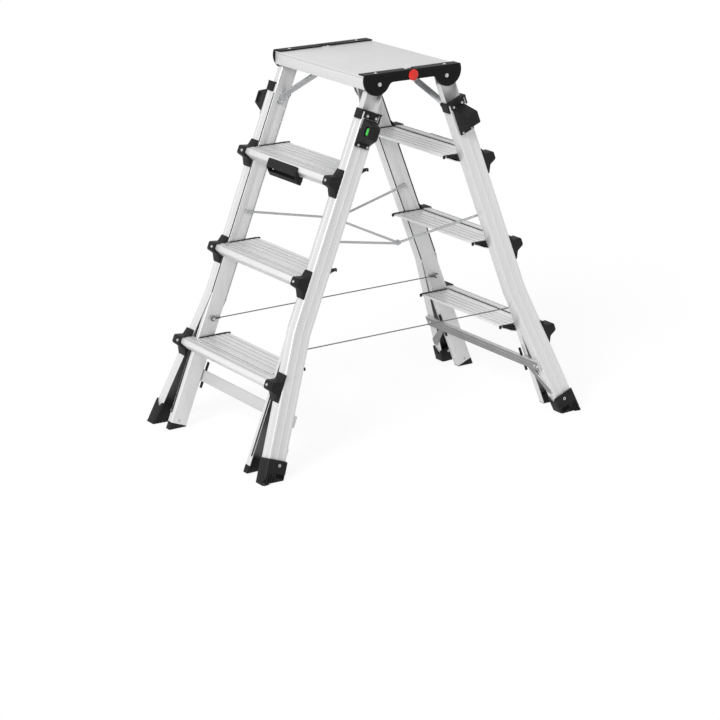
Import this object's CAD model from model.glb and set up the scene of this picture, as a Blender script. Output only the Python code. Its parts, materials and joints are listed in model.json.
# %% [markdown]
# A trestle ladder is aluminium extrusion, black mouldings and a little zinc-plated wire, so most
# of its look is finish: the grain of the metal, the soft edges of the plastic and the screws.
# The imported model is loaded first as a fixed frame. Its box is kept, to compare at the end.

# %% Load the frame
import json
import math

import bmesh
import bpy
from mathutils import Matrix, Vector


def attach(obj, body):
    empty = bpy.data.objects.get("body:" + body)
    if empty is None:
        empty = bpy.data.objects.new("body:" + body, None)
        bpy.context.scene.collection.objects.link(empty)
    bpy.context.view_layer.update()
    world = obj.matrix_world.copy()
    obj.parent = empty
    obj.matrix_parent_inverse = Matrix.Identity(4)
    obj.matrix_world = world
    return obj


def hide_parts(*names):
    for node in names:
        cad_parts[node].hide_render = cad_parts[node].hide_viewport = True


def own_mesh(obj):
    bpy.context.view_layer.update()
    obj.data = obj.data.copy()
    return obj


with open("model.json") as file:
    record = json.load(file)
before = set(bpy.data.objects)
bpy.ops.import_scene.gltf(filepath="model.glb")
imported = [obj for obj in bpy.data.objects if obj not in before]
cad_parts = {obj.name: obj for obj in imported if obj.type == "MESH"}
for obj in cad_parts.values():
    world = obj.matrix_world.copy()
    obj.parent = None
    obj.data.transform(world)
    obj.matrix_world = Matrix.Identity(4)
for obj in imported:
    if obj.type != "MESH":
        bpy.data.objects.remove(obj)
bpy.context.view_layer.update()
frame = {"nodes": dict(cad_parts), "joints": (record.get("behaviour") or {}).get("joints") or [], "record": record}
nodes = frame["nodes"]
joints = {joint["name"]: joint for joint in frame["joints"]}
scene = bpy.context.scene

# %% [markdown]
# The stance is read back from the joints, so that every piece made here stands where the model
# does. The slide of a leg points down its rail, and the fold hinge gives the pivot at its head.

# %% Stance of the two sides
pivot_b = Vector(joints["fold_b"]["pos_m"])
down_b = Vector(joints["extend_b"]["axis"]).normalized()
leg_angle = math.atan2(down_b.x, -down_b.z)
print("leg angle", round(math.degrees(leg_angle), 2), "pivot", [round(v, 4) for v in pivot_b])


def leg_matrix(side, end="far"):
    """Places leg coordinates: x out of the climbing face, y along the treads, z up the rail."""
    matrix = Matrix.Translation(pivot_b) @ Matrix.Rotation(-leg_angle, 4, "Y")
    if side == "a":
        matrix = Matrix.Scale(-1, 4, (1, 0, 0)) @ matrix
    return Matrix.Scale(-1, 4, (0, 1, 0)) @ matrix if end == "near" else matrix


# %% [markdown]
# The camera is set first. A long lens far away gives the flat, catalogue look of a product
# picture. It is placed from a target point, an azimuth, an elevation and a distance, which are
# easier to reason about than a raw matrix.

# %% Camera
TARGET = Vector((-0.020, -0.005, 0.153))
AZIMUTH, ELEVATION, DISTANCE = math.radians(-34.269), math.radians(18.195), 5.982
forward = Vector((-math.sin(AZIMUTH) * math.cos(ELEVATION), math.cos(AZIMUTH) * math.cos(ELEVATION),
                  -math.sin(ELEVATION)))
camera_data = bpy.data.cameras.new("camera")
camera_data.sensor_width = 36
camera_data.lens = 118.38
camera_data.clip_end = 60
camera = bpy.data.objects.new("camera", camera_data)
scene.collection.objects.link(camera)
camera.location = TARGET - forward * DISTANCE
camera.rotation_euler = forward.to_track_quat("-Z", "Y").to_euler()
scene.camera = camera
print("camera at", [round(v, 3) for v in camera.location])

# %% [markdown]
# Materials are node trees, built by short helpers. A helper adds a node, sets its inputs and
# links them, so a finish reads as a list of what is layered on what.

# %% Material helpers
scene.view_settings.view_transform = "Standard"


class Finish:
    """A material under construction: its node tree and its Principled shader."""

    def __init__(self, name):
        self.material = bpy.data.materials.new(name)
        self.material.use_nodes = True
        self.tree = self.material.node_tree
        self.shader = self.tree.nodes["Principled BSDF"]
        self.place = self.add("ShaderNodeTexCoord").outputs["Object"]

    def add(self, kind, links=None, **values):
        """Adds a node, sets its properties, and links or sets its inputs by name or number."""
        node = self.tree.nodes.new(kind)
        for key, value in values.items():
            setattr(node, key, value)
        for socket, source in (links or {}).items():
            self.link(source, node.inputs[socket])
        return node

    def link(self, source, socket):
        if isinstance(source, bpy.types.NodeSocket):
            self.tree.links.new(source, socket)
        else:
            socket.default_value = source

    def mapped(self, rotation, scale):
        """Object coordinates turned and stretched, for a grain with a direction."""
        return self.add("ShaderNodeMapping", {"Vector": self.place, "Rotation": rotation,
                                              "Scale": scale}).outputs[0]

    def noise(self, vector, scale, detail=3.0, roughness=0.5):
        return self.add("ShaderNodeTexNoise", {"Vector": vector, "Scale": scale, "Detail": detail,
                                               "Roughness": roughness}).outputs["Fac"]

    def ramp(self, factor, low, high, start=0.3, end=0.7):
        """Maps a 0 to 1 pattern onto two numbers or two colours."""
        if isinstance(low, (int, float)):
            return self.add("ShaderNodeMapRange", {"Value": factor, "From Min": start, "From Max": end,
                                                   "To Min": low, "To Max": high}).outputs[0]
        node = self.add("ShaderNodeValToRGB", {"Fac": factor})
        for element, place, colour in zip(node.color_ramp.elements, (start, end), (low, high)):
            element.position = place
            element.color = (*colour, 1)
        return node.outputs["Color"]

    def times(self, first, second):
        """Two colours multiplied."""
        return self.add("ShaderNodeMix", {0: 1.0, 6: first, 7: second}, data_type="RGBA",
                        blend_type="MULTIPLY").outputs[2]

    def bump(self, height, strength, distance):
        node = self.add("ShaderNodeBump", {"Height": height, "Strength": strength, "Distance": distance})
        self.tree.links.new(node.outputs[0], self.shader.inputs["Normal"])

    def set(self, **inputs):
        for name, source in inputs.items():
            self.link(source, self.shader.inputs[name.replace("_", " ")])
        return self.material


# %% [markdown]
# Extruded aluminium has hairlines along its length from the die, a satin sheen that is smeared
# across them, and faint cloudy patches where it was handled. Stretching a noise along the length
# gives the hairlines. The pattern is turned to the way each bar runs: down a leg or along Y. Two
# darker ones are for grooves and for the insides of channels.

# %% Aluminium finishes
GRAIN_SCALE, BROAD_SHARE = 260.0, 0.12
UNTURNED, ALONG_LEG, ALONG_BAR = (0, 0, 0), (1.0, 1.0, 0.012), (1.0, 0.012, 1.0)
ALONG_DECK, IN_CHANNEL = (1.0, 0.02, 1.0), (1.0, 1.0, 0.03)


def aluminium(name, rotation, stretch, tint, wander=0.022, metallic=0.40):
    """Satin extrusion whose hairlines run the way that stretch makes a noise longest."""
    f = Finish(name)
    lines = f.noise(f.mapped(rotation, stretch), GRAIN_SCALE, detail=4.0, roughness=0.65)
    broad = f.noise(f.mapped(rotation, [value * BROAD_SHARE for value in stretch]), GRAIN_SCALE, detail=2.0)
    clouds = f.noise(f.place, 9.0, detail=3.0)
    dark, pale = [tint - wander, tint - wander, tint - 0.8 * wander], [tint + wander] * 3
    streaks = f.ramp(broad, dark, pale, start=0.25, end=0.75)
    fine = f.ramp(lines, (0.93, 0.93, 0.93), (1.0, 1.0, 1.0))
    f.bump(lines, strength=0.12, distance=0.0004)
    return f.set(Base_Color=f.times(streaks, fine), Metallic=metallic, Roughness=f.ramp(clouds, 0.36, 0.48))


leg_grain = {side: aluminium("aluminium_leg_" + side, (0, sign * leg_angle, 0), ALONG_LEG, 0.74, wander=0.015)
             for side, sign in (("a", -1), ("b", 1))}
cross_grain = aluminium("aluminium_cross", UNTURNED, ALONG_BAR, 0.80, wander=0.030)
deck_grain = aluminium("aluminium_deck", UNTURNED, ALONG_DECK, 0.74, wander=0.008)
groove_grain = aluminium("aluminium_groove", UNTURNED, ALONG_DECK, 0.60)
channel_grain = aluminium("aluminium_channel", UNTURNED, IN_CHANNEL, 0.24, metallic=0.3)
mill_grain = aluminium("aluminium_mill", UNTURNED, ALONG_BAR, 0.62, wander=0.035)
print("aluminium finishes", [m.name for m in bpy.data.materials if m.name.startswith("aluminium_")])

# %% [markdown]
# The mouldings are black nylon with a spark-eroded surface: a fine even grain that breaks up the
# highlight, over a colour that is a very dark grey and never pure black. Nylon is dull, so its
# specular level is set low, straight on the shader. The steel of screws and wire is mottled.

# %% Plastic, steel and small finishes
def moulding(name, colour, rough, grain=0.25, specular=0.5):
    """Grained injection moulding with faint scuffs."""
    f = Finish(name)
    speckle = f.noise(f.place, 1400.0, detail=2.0)
    scuffs = f.noise(f.mapped((0.3, 0.2, 0.1), (1, 1, 4)), 60.0, detail=5.0, roughness=0.7)
    lighter = [value * 1.5 + 0.004 for value in colour]
    f.bump(speckle, strength=grain, distance=0.0003)
    return f.set(Base_Color=f.ramp(scuffs, colour, lighter, start=0.45, end=0.8), Specular_IOR_Level=specular,
                 Roughness=f.ramp(speckle, rough - 0.06, rough + 0.08))


def plated(name, colour, rough, metallic=0.8):
    """Zinc-plated steel: a soft grey metal with a slightly mottled sheen."""
    f = Finish(name)
    mottle = f.noise(f.place, 220.0, detail=4.0)
    darker = [value * 0.82 for value in colour]
    f.bump(mottle, strength=0.12, distance=0.0002)
    return f.set(Base_Color=f.ramp(mottle, darker, colour, start=0.35, end=0.65), Metallic=metallic,
                 Roughness=f.ramp(mottle, rough - 0.07, rough + 0.07))


black_plastic = moulding("black_moulding", (0.010, 0.010, 0.011), 0.55, specular=0.18)
black_cheek = moulding("black_cheek", (0.006, 0.006, 0.0065), 0.50, grain=0.15, specular=0.10)
black_rubber = moulding("black_rubber", (0.004, 0.004, 0.004), 0.75, grain=0.4, specular=0.06)
red_plastic = moulding("red_disc_paint", (0.72, 0.030, 0.022), 0.35, grain=0.05, specular=0.3)
green_plastic = moulding("green_indicator", (0.045, 0.50, 0.055), 0.30, grain=0.05, specular=0.3)
zinc_steel = plated("zinc_steel", (0.50, 0.51, 0.52), 0.40)
bright_steel = plated("bright_fastener", (0.54, 0.54, 0.55), 0.32)
cord_steel = plated("cord_steel", (0.24, 0.24, 0.25), 0.5, metallic=0.5)
hook_steel = plated("hook_steel", (0.13, 0.13, 0.135), 0.4, metallic=0.6)
PLAIN = {"black_plastic": black_plastic, "zinc_steel": zinc_steel, "fasteners": bright_steel,
         "green_lens": green_plastic, "red_disc": red_plastic, "cord": cord_steel}
print("plastics and steels", [m.name for m in (*PLAIN.values(), black_cheek, black_rubber, hook_steel)])

# %% [markdown]
# Two safety cords keep the sides from sliding apart. Each is a thin stranded cable pulled straight
# between two hooks. Its strands are a twill: a wave on the object's coordinates, turned so that its
# bands cross the cord at a slant.

# %% Strands of the cords
SLANT = math.radians(38)


def stranded(name):
    """The cord's finish: dark steel strands at a slant."""
    f = Finish(name)
    twist = f.add("ShaderNodeTexWave", {"Vector": f.mapped((0, 0, SLANT), (1, 1, 1)), "Scale": 260.0,
                                        "Distortion": 0.4}, wave_type="BANDS").outputs["Fac"]
    f.bump(twist, strength=0.5, distance=0.0004)
    return f.set(Base_Color=f.ramp(twist, (0.10, 0.10, 0.105), (0.30, 0.30, 0.31)), Metallic=0.5,
                 Roughness=0.45)


cord_strands = stranded("cord_strands")
print("cord finish", cord_strands.name)

# %% [markdown]
# A cord is one straight tube with no sag. It squashes along X as the sides fold, because a slack
# cord has no one shape. Folded, the hooks hang under the pivots, which gives the share of its length
# that it keeps. It keeps its height too, so its ends then lie above the hooks.

# %% Safety cords
CORD_HALF, CORD_Y, CORD_Z, CORD_R = 0.341, 0.170, 0.274, 0.0015
RINGS, PATH_STEPS = 75, 38


def safety_cord(name, y):
    """A straight tube of many rings from hook to hook."""
    bm = bmesh.new()
    along_x = Matrix.Translation((0, y, CORD_Z)) @ Matrix.Rotation(math.pi / 2, 4, "Y")
    bmesh.ops.create_cone(bm, cap_ends=True, segments=10, radius1=CORD_R, radius2=CORD_R,
                          depth=2 * CORD_HALF, matrix=along_x)
    long_edges = [e for e in bm.edges if e.calc_length() > CORD_HALF]
    bmesh.ops.subdivide_edges(bm, edges=long_edges, cuts=RINGS)
    bmesh.ops.recalc_face_normals(bm, faces=bm.faces)
    mesh = bpy.data.meshes.new(name)
    bm.to_mesh(mesh)
    bm.free()
    mesh.shade_smooth()
    mesh.materials.append(cord_strands)
    obj = bpy.data.objects.new(name, mesh)
    scene.collection.objects.link(obj)
    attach(obj, "platform")
    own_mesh(obj)
    return obj


cords = [safety_cord("safety_cord_near", -CORD_Y), safety_cord("safety_cord_far", CORD_Y)]
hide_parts("safety_cords")
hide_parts("safety_cords")
print("vertices of the cords", [len(cord.data.vertices) for cord in cords])

# %% [markdown]
# Each node takes the finish of its material, and the aluminium ones take the grain of their bar.

# %% Give every node its finish
SLOT_OF = {part["node"]: part["material_slot"] for part in frame["record"]["subparts"]}
BODY_OF = {node: body for body, members in frame["record"]["behaviour"]["bodies"].items() for node in members}


def finish_of(name):
    """The finish of a node: the metal grain that runs along its bar, or its slot's plain one."""
    if name.startswith("cheek_") and SLOT_OF[name] == "black_plastic":
        return black_cheek
    if SLOT_OF[name] != "aluminium":
        return PLAIN[SLOT_OF[name]]
    if name == "deck":
        return deck_grain
    if name.startswith(("inner_rail", "outer_rail")):
        return leg_grain["a" if "_a_" in name else "b"]
    return mill_grain if name.startswith("rear_bracing") else cross_grain


def dress(obj, material):
    obj.data.materials.clear()
    obj.data.materials.append(material)


for name, obj in nodes.items():
    dress(obj, finish_of(name))
print("finishes on", len(nodes), "nodes")

# %% [markdown]
# Real edges are never sharp: an extrusion has a radius of a few tenths and a moulding one of
# about a millimetre, and that small round catches the light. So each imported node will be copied
# and its edges bevelled, and these are the helpers for it. The last one insets the round heads of
# the fasteners and pushes them in, which gives the socket that a driver or a rivet gun leaves.

# %% Helpers for pieces with soft edges
SHARP, FLAT, DOUBLES = math.radians(28), math.radians(1.0), 2e-5
EDGE = {"black_plastic": 0.0008, "aluminium": 0.0003, "zinc_steel": 0.0004, "fasteners": 0.0003,
        "red_disc": 0.0005}
HEAD_SIDES, HEAD_AREA = 20, (1.5e-5, 1.6e-4)
DISH_RING, DISH_WALL, DISH_DEPTH = 0.50, 0.10, 0.0008


def to_piece(name, bm, material, body, smooth=math.radians(32)):
    """Finishes a bmesh as a piece that rides on a body."""
    mesh = bpy.data.meshes.new(name)
    bm.to_mesh(mesh)
    bm.free()
    mesh.shade_smooth()
    mesh.set_sharp_from_angle(angle=smooth)
    mesh.materials.append(material)
    obj = bpy.data.objects.new(name, mesh)
    scene.collection.objects.link(obj)
    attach(obj, body)
    return obj


def join_flat(bm):
    """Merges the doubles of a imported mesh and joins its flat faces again."""
    bmesh.ops.remove_doubles(bm, verts=bm.verts, dist=DOUBLES)
    bmesh.ops.dissolve_limit(bm, angle_limit=FLAT, verts=bm.verts, edges=bm.edges)


def sharp_edges(bm):
    return [e for e in bm.edges if len(e.link_faces) == 2 and e.calc_face_angle(0) > SHARP]


def bevel(bm, edges, width, segments=2):
    """Rounds edges, and returns what bmesh made."""
    return bmesh.ops.bevel(bm, geom=edges, offset=width, offset_type="OFFSET", segments=segments,
                           profile=0.5, affect="EDGES", clamp_overlap=True, material=-1)


def sockets(bm):
    """Pushes a small dish into every flat round face."""
    low, high = HEAD_AREA
    for head in [f for f in bm.faces if len(f.verts) >= HEAD_SIDES and low < f.calc_area() < high]:
        radius = math.sqrt(head.calc_area() / math.pi)
        bmesh.ops.inset_individual(bm, faces=[head], thickness=radius * DISH_RING, depth=0.0)
        bmesh.ops.inset_individual(bm, faces=[head], thickness=radius * DISH_WALL, depth=-DISH_DEPTH)


print("edge widths in mm", {slot: round(1000 * width, 1) for slot, width in EDGE.items()})

# %% [markdown]
# Grooves and the insides of channels look darker than the faces round them, because dirt and shade
# gather there. A second finish on just those faces gives that look from every side. The grooves of
# the treads are picked by how far they lie under the top. The skirt of the deck has one line.

# %% Darker grooves
def shade(obj, material, chosen, into=Matrix()):
    """Gives a second finish to the faces that chosen picks by middle and normal, as seen through into."""
    mesh = obj.data
    mesh.materials.append(material)
    turn = into.to_3x3()
    for face in mesh.polygons:
        if chosen(into @ face.center, turn @ face.normal):
            face.material_index = 1


GROOVE_TOP, GROOVE_FLOOR = 0.0002, 0.0010


def in_tread_groove(top):
    """A test for the faces a little under the top of a tread."""
    return lambda middle, normal: GROOVE_TOP < top - middle.z < GROOVE_FLOOR


DECK_HALF = max(v.co.x for v in nodes["deck"].data.vertices)
DECK_TOP = max(v.co.z for v in nodes["deck"].data.vertices)
SKIRT_LINE, LINE_IN, LINE_OUT = DECK_TOP - 0.0063, DECK_HALF - 0.0009, DECK_HALF - 0.0001


def in_skirt_line(middle, normal):
    """The groove along the deck's skirt and the round of its upper edge, without the ends' flat faces."""
    return LINE_IN < abs(middle.x) < LINE_OUT and middle.z > SKIRT_LINE and normal.x != 0


print("deck half", round(DECK_HALF, 4), "top", round(DECK_TOP, 4))

# %% [markdown]
# For the rails and cross bars, where a face lies and which way it looks are told in the coordinates
# of their leg. Then one test does for all four legs.

# %% Darker channels
WEB_SPLIT_Y, LIP_Y, SHOWN_S = 0.182, 0.177, 0.60
FACING, BACKWARD = 0.8, -0.7


def inside_flange(middle, normal):
    """The inner face of a flange, at the front or the back of the channel."""
    return abs(normal.x) > FACING and normal.x * middle.x < 0 and middle.y > LIP_Y


def in_outer_channel(middle, normal):
    """The inside of an outer rail: its web's inner face and the inner faces of its flanges."""
    return (normal.y < -FACING and middle.y > WEB_SPLIT_Y) or inside_flange(middle, normal)


def in_inner_channel(middle, normal):
    """The outward side of an inner rail, which shows where the outer rail is flared away."""
    web = normal.y > FACING and middle.y < WEB_SPLIT_Y
    return middle.z <= -SHOWN_S and (web or inside_flange(middle, normal))


def on_bar_back(middle, normal):
    """Faces of a cross bar that look away from the climber."""
    return normal.x < BACKWARD


def shade_special(name, obj):
    """The places of a node that show darker: grooves, a channel's inside and the back of a cross bar."""
    to_leg = leg_matrix("a" if "_a" in name else "b", "near" if name.endswith("near") else "far").inverted()
    if name.startswith(("rear_tread_a_", "rear_tread_b_", "front_tread")):
        shade(obj, groove_grain, in_tread_groove(max(v.co.z for v in obj.data.vertices)))
    elif name.startswith("outer_rail"):
        shade(obj, channel_grain, in_outer_channel, to_leg)
    elif name.startswith("inner_rail"):
        shade(obj, channel_grain, in_inner_channel, to_leg)
    elif name.startswith("rear_bracing"):
        shade(obj, channel_grain, on_bar_back, to_leg)
    elif name == "deck":
        shade(obj, groove_grain, in_skirt_line)


print("the inner rails darken from", SHOWN_S, "m down")

# %% [markdown]
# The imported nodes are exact, so each is copied, its doubles are merged, its flat faces are joined
# again, and its sharp edges are bevelled with bmesh. An inner rail is also cut across, without
# losing anything, so that only its lower stretch takes the darker finish. The copy stands for the
# node. The cords stand already, and the lenses follow in a cell of their own.

# %% Soften the edges of the nodes
def softened(name):
    """A copy of a node with bevelled edges, which replaces it."""
    bm = bmesh.new()
    bm.from_mesh(nodes[name].data)
    join_flat(bm)
    if SLOT_OF[name] == "fasteners":
        sockets(bm)
    bevel(bm, sharp_edges(bm), EDGE[SLOT_OF[name]])
    if name.startswith("inner_rail"):
        side = "a" if "_a_" in name else "b"
        bmesh.ops.bisect_plane(bm, geom=bm.verts[:] + bm.edges[:] + bm.faces[:],
                               plane_co=leg_matrix(side) @ Vector((0, 0, -SHOWN_S)),
                               plane_no=down_b if side == "b" else Vector((-down_b.x, 0, down_b.z)))
    bmesh.ops.triangulate(bm, faces=[f for f in bm.faces if len(f.verts) > 4])
    obj = to_piece(name + "_soft", bm, finish_of(name), BODY_OF[name])
    shade_special(name, obj)
    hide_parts(name)
    return obj


LENSES = ("lock_indicators_a", "lock_indicators_b")
soft = {name: softened(name) for name in nodes if name not in ("safety_cords", *LENSES)}
print("softened", len(soft), "nodes,", sum(len(obj.data.polygons) for obj in soft.values()), "faces")

# %% [markdown]
# Only one lock of each side has a window: the one on the user's right hand. The other housing has
# the same recess with a black blank in it. So the two lenses of a node are parted by their Y.

# %% Indicator lens and its blank
LENS_EDGE = 0.0009


def lens_half(name, sign, finish):
    """The lens at one end of a node, as a piece of its own."""
    bm = bmesh.new()
    bm.from_mesh(nodes[name].data)
    bmesh.ops.delete(bm, geom=[v for v in bm.verts if v.co.y * sign < 0], context="VERTS")
    join_flat(bm)
    bevel(bm, sharp_edges(bm), LENS_EDGE, segments=3)
    piece = to_piece(f"{name}_{'far' if sign > 0 else 'near'}", bm, finish, BODY_OF[name])
    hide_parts(name)
    return piece


for name, lens_end in zip(LENSES, (-1, 1)):
    print(lens_half(name, lens_end, green_plastic).name,
          lens_half(name, -lens_end, black_plastic).name)

# %% [markdown]
# Each end of a cord has an eye that hangs on its hook and a pressed sleeve that holds the loop. The
# eye is a small circle spun round the pin, and the sleeve is a short tapered tube. Both are made
# once, at the far end of side b, and mirrored to the other three.

# %% Eyes and sleeves of the cords
HOOK_S, EYE_R, BEAD_R, EYE_EDGE, EYE_MERGE = 0.673, 0.0058, 0.0014, 0.0006, 1e-5
SLEEVE_X, SLEEVE_LONG, SLEEVE_R = -0.0128, 0.013, (0.0027, 0.0023)
hook = leg_matrix("b") @ Vector((0, CORD_Y, -HOOK_S))
print("hook", [round(v, 4) for v in hook])


def eye_and_sleeve(bm):
    """Adds a ring round the pin and a sleeve on the cord beside it."""
    place = Matrix.Translation(hook)
    bead = bmesh.ops.create_circle(bm, cap_ends=False, segments=10, radius=BEAD_R,
                                   matrix=place @ Matrix.Translation((EYE_R, 0, 0)))
    edges = list({e for v in bead["verts"] for e in v.link_edges})
    bmesh.ops.spin(bm, geom=edges, cent=hook, axis=(0, 1, 0), angle=math.tau, steps=24, use_merge=True)
    along_cord = Matrix.Translation((SLEEVE_X, 0, 0)) @ Matrix.Rotation(math.pi / 2, 4, "Y")
    bmesh.ops.create_cone(bm, cap_ends=True, segments=16, radius1=SLEEVE_R[0], radius2=SLEEVE_R[1],
                          depth=SLEEVE_LONG, matrix=place @ along_cord)


def cord_ends(side):
    """The eyes and sleeves at both ends of one side."""
    bm = bmesh.new()
    eye_and_sleeve(bm)
    bmesh.ops.remove_doubles(bm, verts=bm.verts, dist=EYE_MERGE)
    bevel(bm, sharp_edges(bm), EYE_EDGE)
    if side == "a":
        bmesh.ops.scale(bm, vec=(-1, 1, 1), verts=bm.verts)
    bmesh.ops.mirror(bm, geom=bm.verts[:] + bm.edges[:] + bm.faces[:], axis="Y", merge_dist=-1)
    bmesh.ops.recalc_face_normals(bm, faces=bm.faces)
    return to_piece("cord_ends_" + side, bm, hook_steel, "frame_" + side)


for side in "ab":
    print(cord_ends(side).name)

# %% [markdown]
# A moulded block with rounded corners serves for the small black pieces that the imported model
# leaves out. It starts as a cube, is scaled to size in leg coordinates and bevelled, and is then
# placed by the matrix of its leg and end.

# %% Blocks and black pieces
def block(bm, low, high, matrix, edge=0.0008):
    """Adds a rounded box between two corners in the coordinates of matrix."""
    low, high = Vector(low), Vector(high)
    shape = Matrix.Translation((low + high) / 2) @ Matrix.Diagonal((*(high - low), 1))
    made = bmesh.ops.create_cube(bm, size=1.0, matrix=shape)
    bevelled = bevel(bm, list({e for v in made["verts"] for e in v.link_edges}), edge)
    verts = list({v for f in bevelled["faces"] for v in f.verts} | {v for v in made["verts"] if v.is_valid})
    bmesh.ops.transform(bm, matrix=matrix, verts=verts)


def black_pieces(name, body, build, material=black_plastic):
    """Has build fill a bmesh for each side, and finishes it as a piece on that side's body."""
    for side in "ab":
        bm = bmesh.new()
        build(bm, side)
        bmesh.ops.recalc_face_normals(bm, faces=bm.faces)
        piece = to_piece(f"{name}_{side}", bm, material, f"{body}_{side}")
        print(piece.name, len(piece.data.polygons), "faces")


# %% [markdown]
# Behind each rail a pad above and below the cross bar keeps the two sections from rattling, and the
# guide collar grips the rail's rear edge with a small clip. Both move down as the leg extends. The
# pads start under the lowest rear half tread, and the clips pass just outside the treads' end caps.

# %% Guide pads and collar clips
PAD_SPANS = ((0.7830, 0.8055), (0.8345, 0.8510))
PAD_X, PAD_Y = (-0.0305, -0.0252), (0.1708, 0.1762)
CLIP = ((-0.0300, 0.1777, -0.0740), (-0.0250, 0.1850, -0.0660))


def pads_and_clips(bm, side):
    """Two pads and a clip at each end of a side."""
    for end in ("near", "far"):
        for top, bottom in PAD_SPANS:
            block(bm, (PAD_X[0], PAD_Y[0], -bottom), (PAD_X[1], PAD_Y[1], -top), leg_matrix(side, end))
        block(bm, *CLIP, leg_matrix(side, end))


black_pieces("guide_pads", "extension", pads_and_clips)

# %% [markdown]
# The edges of the rails carry thin black glide strips, so that metal never runs on metal. They
# read as fine dark lines along the rails. The front half treads have a seal of the same material
# where they meet the rear halves. Its lip is turned level. On side a it is sunk, and on side b it
# stands a little proud and reads as a dark line. A strip is a long low block in leg coordinates.

# %% Glide strips and tread seals
STRIP_S, STRIP_Y, STRIP_WIDE = (0.0915, 0.6110), (0.17556, 0.17606), 0.00236
STRIP_FRONT, STRIP_REAR = 0.02262, -0.02498
INNER_STRIP = ((0.0224, 0.1872, -0.9300), (0.02294, 0.1928, -0.6300))
TREAD_S, SEAL_HALF = (0.221, 0.471, 0.721), 0.1745
SEAL_X, SEAL_TOP, SEAL_LOW = (0.0227, 0.0251), 0.0102, 0.0175
SEAM_N, LIP_HALF, LIP_RISE = 0.0239, 0.0012, {"a": -0.0006, "b": 0.0012}
FINE_EDGE, SEAL_EDGE = 0.0001, 0.0002


def strips_and_seals(bm, side):
    """The strips of the outer rails, and a seal with its lip on each front half tread."""
    runs = [("near", STRIP_FRONT), ("far", STRIP_FRONT)] + ([("far", STRIP_REAR)] if side == "b" else [])
    for end, low in runs:
        block(bm, (low, STRIP_Y[0], -STRIP_S[1]), (low + STRIP_WIDE, STRIP_Y[1], -STRIP_S[0]),
              leg_matrix(side, end), edge=FINE_EDGE)
    for tread in TREAD_S:
        block(bm, (SEAL_X[0], -SEAL_HALF, -tread - SEAL_LOW), (SEAL_X[1], SEAL_HALF, -tread - SEAL_TOP),
              leg_matrix(side), edge=SEAL_EDGE)
        seam = Matrix.Translation((SEAM_N, 0, -tread - SEAM_N * math.tan(leg_angle)))
        level = leg_matrix(side) @ seam @ Matrix.Rotation(leg_angle, 4, "Y")
        block(bm, (-LIP_HALF, -SEAL_HALF, -LIP_HALF), (LIP_HALF, SEAL_HALF, LIP_RISE[side]), level,
              edge=FINE_EDGE)


def inner_strips(bm, side):
    for end in ("near", "far"):
        block(bm, *INNER_STRIP, leg_matrix(side, end), edge=FINE_EDGE)


black_pieces("glide_strips", "extension", strips_and_seals)
black_pieces("inner_strips", "frame", inner_strips)

# %% [markdown]
# The foot caps are the pieces that wear, so they are the most detailed mouldings: a raised plate on
# the outer face, and under it, where the sole is cut back, a row of ribs. They are built in the
# coordinates of the flared stretch, which is turned about the mitre line on the rail's outer face.
# One foot of each side has no notch in its front face, and a wedge fills it there.

# %% Plates, ribs and wedges of the feet
FLARE, MITRE_S, FLARE_END, FOOT_TOP = math.radians(10.8), 0.615, 0.97385, 0.91885
OUTER_Y, FACE_Y = 0.2065, 0.2105
PLATE_X, PLATE_LOW, PLATE_EDGE = (-0.0265, 0.0255), 0.0235, 0.0006
PLATE_DEEP, PLATE_PROUD, PLATE_GAP = 0.001, 0.0015, 0.0015
RIBS, RIB_HALF, RIB_EDGE = (0.0220, 0.0155, 0.0090, 0.0025), 0.0015, 0.0004
RIB_PROUD, RIB_LOW = 0.0010, 0.0035
POCKET_DEEP, POCKET_TOP = 0.0070, 0.0225
WEDGE_X, WEDGE_OUT = 0.0250, 0.0040
WEDGE = ((0.1770, 0), (0.18825, 0.0170), (OUTER_Y, 0))  # along Y, and down from the foot's top


def flared(side, end):
    """Leg coordinates turned with the flared stretch of the outer rail."""
    hinge_line = Matrix.Translation((0, OUTER_Y, -MITRE_S))
    return leg_matrix(side, end) @ hinge_line @ Matrix.Rotation(FLARE, 4, "X") @ hinge_line.inverted()


def notch_wedge(bm, matrix):
    """Fills the notch in the front face of a foot."""
    face = bm.faces.new([bm.verts.new((WEDGE_X, y, -FOOT_TOP - down)) for y, down in WEDGE])
    grown = bmesh.ops.extrude_face_region(bm, geom=[face])
    front = [item for item in grown["geom"] if isinstance(item, bmesh.types.BMVert)]
    bmesh.ops.translate(bm, verts=front, vec=(WEDGE_OUT, 0, 0))
    bmesh.ops.transform(bm, matrix=matrix, verts=list(face.verts) + front)


def foot_detail(bm, side):
    """A plate and a row of ribs on both feet, and the wedge on one."""
    for end in ("near", "far"):
        place = flared(side, end)
        block(bm, (PLATE_X[0], FACE_Y - PLATE_DEEP, -FLARE_END + PLATE_LOW),
              (PLATE_X[1], FACE_Y + PLATE_PROUD, -FOOT_TOP - PLATE_GAP), place, edge=PLATE_EDGE)
        for rib in RIBS:
            low = -FLARE_END - rib * math.tan(leg_angle) + RIB_LOW
            block(bm, (rib - RIB_HALF, FACE_Y - POCKET_DEEP, low),
                  (rib + RIB_HALF, FACE_Y + RIB_PROUD, -FLARE_END + POCKET_TOP), place, edge=RIB_EDGE)
    notch_wedge(bm, flared(side, "near" if side == "a" else "far"))


black_pieces("foot_detail", "extension", foot_detail)

# %% [markdown]
# The soles grip with a softer, blacker rubber that is let into the moulding. Two low blocks do for
# each foot: one beside the ribs, nearly level with the face, and one behind the ribs, set back.

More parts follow.
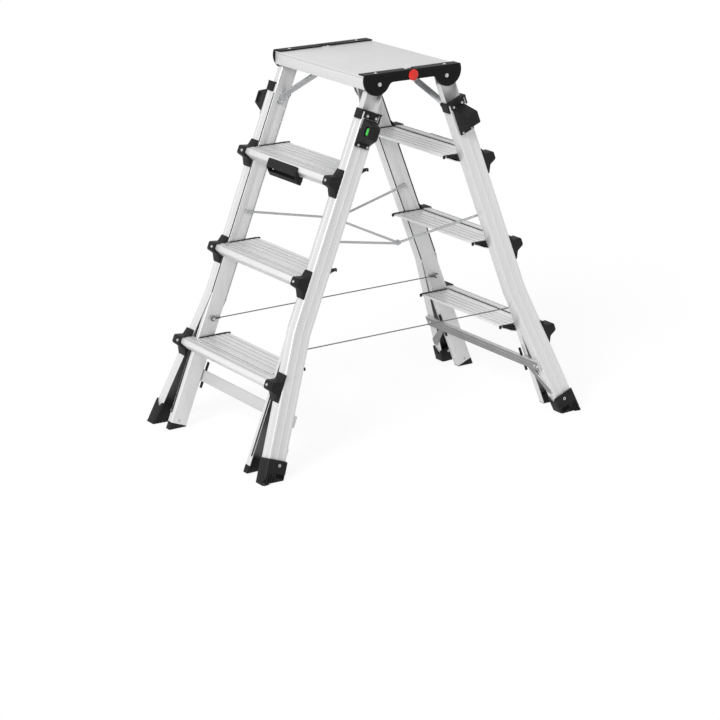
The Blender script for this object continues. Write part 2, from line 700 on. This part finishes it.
# %% Rubber inserts of the soles
# Corners as (x, out of the face, up from the end of the rail)
BESIDE_RIBS = ((-0.0240, -POCKET_DEEP, 0.0125), (-0.0010, 0.0003, POCKET_TOP))
BEHIND_RIBS = ((-0.0010, -POCKET_DEEP, 0.0025), (0.0240, -0.0012, POCKET_TOP))


def sole_rubber(bm, side):
    """Two rubber pads let into the outer face of each foot."""
    for end in ("near", "far"):
        for corners in (BESIDE_RIBS, BEHIND_RIBS):
            low, high = [(x, FACE_Y + out, -FLARE_END + up) for x, out, up in corners]
            block(bm, low, high, flared(side, end), edge=RIB_EDGE)


black_pieces("sole_rubber", "extension", sole_rubber, black_rubber)

# %% [markdown]
# The release handle is closed at the back up to the tread, so no light shows through under its
# front plate. A thin wall in the handle's own body does that, and it swings with the handle. It
# stands behind the tread's nose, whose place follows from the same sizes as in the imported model.

# %% Back wall of the release handle
RAIL_HALF, NOSE_REACH, TREAD_HIGH, NOSE_DROP, SIDE_GAP = 0.025, 0.035, 0.032, 0.38, 0.0004
FRONT_X = RAIL_HALF / math.cos(leg_angle)
NOSE_N = ((FRONT_X + NOSE_REACH) * math.cos(leg_angle) - TREAD_HIGH * NOSE_DROP * math.sin(leg_angle)
          + SIDE_GAP)
WALL_N, WALL_HALF, WALL_DOWN, WALL_EDGE = (0.0216, 0.0190), 0.0637, (0.0530, 0.0440), 0.0005


def handle_back(bm, side):
    block(bm, (NOSE_N - WALL_N[0], -WALL_HALF, -TREAD_S[0] - WALL_DOWN[0]),
          (NOSE_N - WALL_N[1], WALL_HALF, -TREAD_S[0] - WALL_DOWN[1]), leg_matrix(side), edge=WALL_EDGE)


black_pieces("handle_back", "handle", handle_back)

# %% [markdown]
# In the middle of each cheek's flange a round boss of the moulding fills the recess on the deck. It
# is half a sphere, flattened, and cut just under the deck's top by a bisecting plane.

# %% Bosses on the cheeks
BOSS_R, BOSS_RISE, BOSS_Y, BOSS_SINK = 0.0085, 0.0034, 0.1850, 0.0002


def cheek_boss(name, sign):
    """A low dome in the middle of a cheek's flange."""
    bm = bmesh.new()
    bmesh.ops.create_uvsphere(bm, u_segments=32, v_segments=16, radius=BOSS_R)
    bmesh.ops.scale(bm, vec=(1, 1, BOSS_RISE / BOSS_R), verts=bm.verts)
    bmesh.ops.translate(bm, vec=(0, sign * BOSS_Y, DECK_TOP), verts=bm.verts)
    cut = bmesh.ops.bisect_plane(bm, geom=bm.verts[:] + bm.edges[:] + bm.faces[:],
                                 plane_co=(0, 0, DECK_TOP - BOSS_SINK), plane_no=(0, 0, 1), clear_inner=True)
    rim = [item for item in cut["geom_cut"] if isinstance(item, bmesh.types.BMEdge)]
    bmesh.ops.holes_fill(bm, edges=rim)
    bmesh.ops.recalc_face_normals(bm, faces=bm.faces)
    return to_piece(name, bm, black_cheek, "platform")


for name, sign in (("cheek_boss_near", -1), ("cheek_boss_far", 1)):
    print(cheek_boss(name, sign).name, "top of deck", round(DECK_TOP, 4))

# %% [markdown]
# The studio is a pale floor under a white surround. What the camera and the metal see of it is
# mostly plain white light, with a share of the lit floor left in, so that it keeps the ladder's
# shadow.

# %% Floor
FLOOR_SINK, FLOOR_GLOW, PLAIN_SHARE = 0.0005, 1.04, 0.86
floor_mesh = bpy.data.meshes.new("floor")
bm = bmesh.new()
bmesh.ops.create_grid(bm, x_segments=1, y_segments=1, size=14.0)
bmesh.ops.translate(bm, verts=bm.verts, vec=(0, 0, -FLOOR_SINK))
bm.to_mesh(floor_mesh)
bm.free()
floor = bpy.data.objects.new("floor", floor_mesh)
scene.collection.objects.link(floor)


def seen_directly(tree):
    """1 for rays of the camera and of reflections, 0 for the light that falls on things."""
    rays = tree.nodes.new("ShaderNodeLightPath")
    either = tree.nodes.new("ShaderNodeMath")
    either.operation = "MAXIMUM"
    tree.links.new(rays.outputs["Is Camera Ray"], either.inputs[0])
    tree.links.new(rays.outputs["Is Glossy Ray"], either.inputs[1])
    return either.outputs[0]


floor_finish = Finish("floor")
floor_finish.set(Base_Color=(0.95, 0.95, 0.95, 1), Roughness=0.8, Specular_IOR_Level=0.0)
glow = floor_finish.add("ShaderNodeEmission", {"Color": (1, 1, 1, 1), "Strength": FLOOR_GLOW})
share = floor_finish.add("ShaderNodeMath", {0: seen_directly(floor_finish.tree), 1: PLAIN_SHARE},
                         operation="MULTIPLY")
both = floor_finish.add("ShaderNodeMixShader", {0: share.outputs[0], 1: floor_finish.shader.outputs[0],
                                                2: glow.outputs[0]})
floor_finish.tree.links.new(both.outputs[0], floor_finish.tree.nodes["Material Output"].inputs["Surface"])
dress(floor, floor_finish.material)
print("floor", floor.name, "lies", FLOOR_SINK, "m under the feet")

# %% [markdown]
# The light on the object comes from one large soft lamp and the plain level of the world.

# %% World and lamp
WORLD_LEVEL, LAMP_AIM = 0.42, Vector((0.74, 0.37, -0.56))
world = bpy.data.worlds.new("studio")
scene.world = world
world.use_nodes = True
background = world.node_tree.nodes["Background"]
background.inputs["Color"].default_value = (1, 1, 1, 1)
level = world.node_tree.nodes.new("ShaderNodeMapRange")
level.inputs["To Min"].default_value = WORLD_LEVEL
level.inputs["To Max"].default_value = 1.0
world.node_tree.links.new(seen_directly(world.node_tree), level.inputs["Value"])
world.node_tree.links.new(level.outputs[0], background.inputs["Strength"])

lamp_data = bpy.data.lights.new("key", "SUN")
lamp_data.energy = 2.3
lamp_data.angle = math.radians(24)
lamp = bpy.data.objects.new("key", lamp_data)
scene.collection.objects.link(lamp)
lamp.rotation_euler = LAMP_AIM.to_track_quat("-Z", "Y").to_euler()
print("lamp energy", lamp_data.energy, "world level", WORLD_LEVEL)
